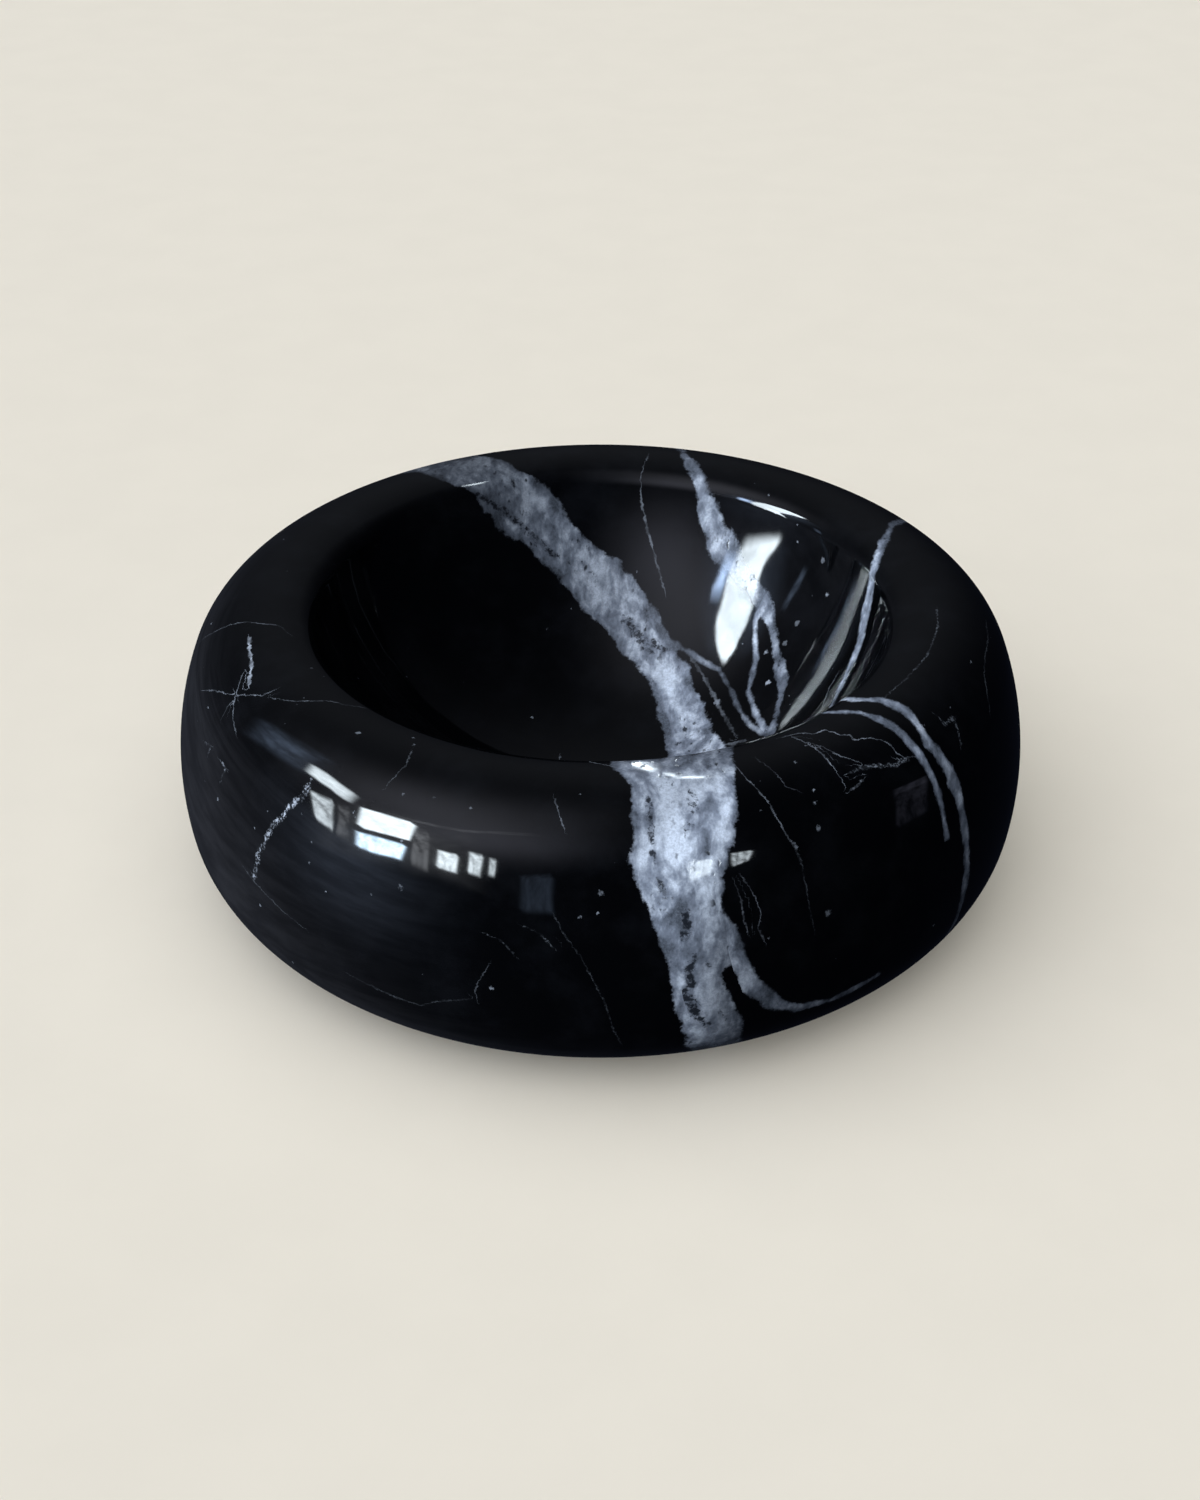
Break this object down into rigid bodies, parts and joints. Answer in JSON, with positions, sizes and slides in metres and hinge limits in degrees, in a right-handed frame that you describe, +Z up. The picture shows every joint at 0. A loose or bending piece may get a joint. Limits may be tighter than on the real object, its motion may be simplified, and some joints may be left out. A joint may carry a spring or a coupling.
{
  "type": "stone bowl",
  "caption": "Heavy round bowl turned from polished black stone with white calcite veins: a thick rounded rim, a ball-shaped hollow and a flat foot.",
  "frame": {"origin": "middle of the flat foot, on the surface the bowl stands on", "axes": "+Z up along the axis the bowl was turned on; -Y towards the front, where the broad white vein comes down the wall"},
  "size_m": [0.2, 0.2, 0.068],
  "materials": {
    "black_stone": "high polish",
    "calcite": "high polish"
  },
  "bodies": {
    "root": {"black_stone_left": "black_stone", "black_stone_back": "black_stone", "black_stone_front": "black_stone", "black_stone_right": "black_stone", "black_stone_island": "black_stone", "main_vein": "calcite", "back_vein": "calcite", "loop_vein": "calcite", "cross_vein": "calcite", "branch_vein": "calcite", "right_vein": "calcite", "twin_vein": "calcite"}
  },
  "joints": []
}
